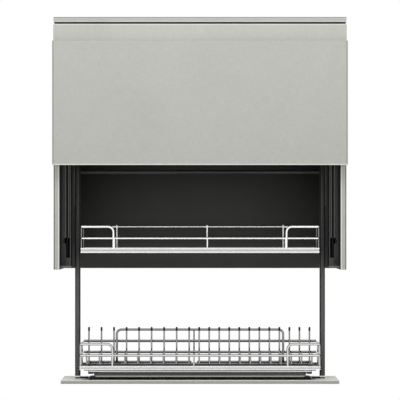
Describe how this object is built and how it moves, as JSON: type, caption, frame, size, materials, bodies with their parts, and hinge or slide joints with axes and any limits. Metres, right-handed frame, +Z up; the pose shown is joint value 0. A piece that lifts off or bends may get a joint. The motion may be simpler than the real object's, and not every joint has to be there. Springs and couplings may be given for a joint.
{
  "type": "pull down dish rack",
  "caption": "Wall cabinet with an upward sliding door and a wire dish rack that is lowered on arms out of its open base, with a drip tray and a board below.",
  "frame": {"origin": "middle of the hanging rail's wall face, where the cabinet lies against the wall", "axes": "+X to the cabinet's right as seen from the front, +Y into the wall, +Z up"},
  "size_m": [0.904, 0.392, 1.1275],
  "materials": {
    "board_grey": "warm grey laminate with a fine linen grain",
    "board_light": "light warm grey laminate with a fine linen grain",
    "board_black": "matt black laminate",
    "black_aluminium": "black anodised",
    "raw_aluminium": "satin",
    "dark_metal": "dark grey powder coat",
    "steel": "brushed",
    "chrome": "bright plated wire",
    "black_plastic": "fine matt",
    "grey_plastic": "fine matt",
    "white_plastic": "satin",
    "rubber": "matt"
  },
  "bodies": {
    "cabinet": {"left_side_panel": "board_grey", "right_side_panel": "board_grey", "spacer_board": "board_black", "top_panel": "board_light", "back_panel": "board_black", "hanging_rail": "board_grey", "fascia_panel": "board_light", "left_hanger": "steel", "right_hanger": "steel", "left_cassette_channel": "black_aluminium", "right_cassette_channel": "black_aluminium", "left_cassette_cover": "black_aluminium", "right_cassette_cover": "black_aluminium", "left_cassette_foot": "grey_plastic", "right_cassette_foot": "grey_plastic", "left_rack_rail": "black_aluminium", "right_rack_rail": "black_aluminium", "left_door_guide_rod": "steel", "right_door_guide_rod": "steel", "left_rack_guide_rod": "steel", "right_rack_guide_rod": "steel", "left_door_belt": "rubber", "right_door_belt": "rubber", "left_rack_belt": "rubber", "right_rack_belt": "rubber", "drive_shelf": "raw_aluminium", "door_gearbox": "raw_aluminium", "door_motor": "dark_metal", "rack_gearbox": "raw_aluminium", "rack_motor": "dark_metal", "control_box": "black_plastic", "power_inlet": "grey_plastic"},
    "door": {"door_panel": "board_grey", "left_door_bracket": "dark_metal", "right_door_bracket": "dark_metal", "left_door_carrier": "black_plastic", "right_door_carrier": "black_plastic"},
    "rack": {"left_arm": "dark_metal", "right_arm": "dark_metal", "left_arm_carriage": "grey_plastic", "right_arm_carriage": "grey_plastic", "cross_bar": "dark_metal", "left_arm_foot": "white_plastic", "right_arm_foot": "white_plastic", "bottom_panel": "board_grey", "panel_mat": "rubber", "upper_shelf": "chrome", "lower_basket": "chrome", "left_plate_tines": "chrome", "right_plate_tines": "chrome", "tine_rail": "chrome", "tray_hanger_frame": "steel"},
    "tray": {"drip_tray": "black_plastic"},
    "door_shaft": {"door_drive_shaft": "steel"},
    "rack_shaft": {"rack_drive_shaft": "steel"},
    "left_door_pulley": {"left_door_idler": "grey_plastic"},
    "right_door_pulley": {"right_door_idler": "grey_plastic"},
    "left_rack_pulley": {"left_rack_idler": "grey_plastic"},
    "right_rack_pulley": {"right_rack_idler": "grey_plastic"}
  },
  "joints": [
    {"name": "door_slide", "type": "slide", "parent": "cabinet", "child": "door", "axis": [0, 0, 1], "range_m": [-0.32, 0]},
    {"name": "rack_slide", "type": "slide", "parent": "cabinet", "child": "rack", "axis": [0, 0, 1], "range_m": [0, 0.3455]},
    {"name": "tray_slide", "type": "slide", "parent": "rack", "child": "tray", "axis": [0, -1, 0], "range_m": [0, 0.036]},
    {"name": "door_shaft_turn", "type": "hinge", "parent": "cabinet", "child": "door_shaft", "pos_m": [0, -0.288, 0.12], "axis": [1, 0, 0], "range_deg": [-5, 1410]},
    {"name": "left_door_idler_turn", "type": "hinge", "parent": "cabinet", "child": "left_door_pulley", "pos_m": [-0.422, -0.288, -0.5554], "axis": [1, 0, 0], "range_deg": [-5, 1410]},
    {"name": "right_door_idler_turn", "type": "hinge", "parent": "cabinet", "child": "right_door_pulley", "pos_m": [0.422, -0.288, -0.5554], "axis": [1, 0, 0], "range_deg": [-5, 1410]},
    {"name": "rack_shaft_turn", "type": "hinge", "parent": "cabinet", "child": "rack_shaft", "pos_m": [0, -0.185, 0.12], "axis": [1, 0, 0], "range_deg": [-1320, 5]},
    {"name": "left_rack_idler_turn", "type": "hinge", "parent": "cabinet", "child": "left_rack_pulley", "pos_m": [-0.422, -0.185, -0.5554], "axis": [1, 0, 0], "range_deg": [-1320, 5]},
    {"name": "right_rack_idler_turn", "type": "hinge", "parent": "cabinet", "child": "right_rack_pulley", "pos_m": [0.422, -0.185, -0.5554], "axis": [1, 0, 0], "range_deg": [-1320, 5]}
  ],
  "couplings": [
    {"joint": "door_shaft_turn", "follows": "door_slide", "rad_per_m": -76.628},
    {"joint": "left_door_idler_turn", "follows": "door_slide", "rad_per_m": -76.628},
    {"joint": "right_door_idler_turn", "follows": "door_slide", "rad_per_m": -76.628},
    {"joint": "rack_shaft_turn", "follows": "rack_slide", "rad_per_m": -66.445},
    {"joint": "left_rack_idler_turn", "follows": "rack_slide", "rad_per_m": -66.445},
    {"joint": "right_rack_idler_turn", "follows": "rack_slide", "rad_per_m": -66.445}
  ]
}
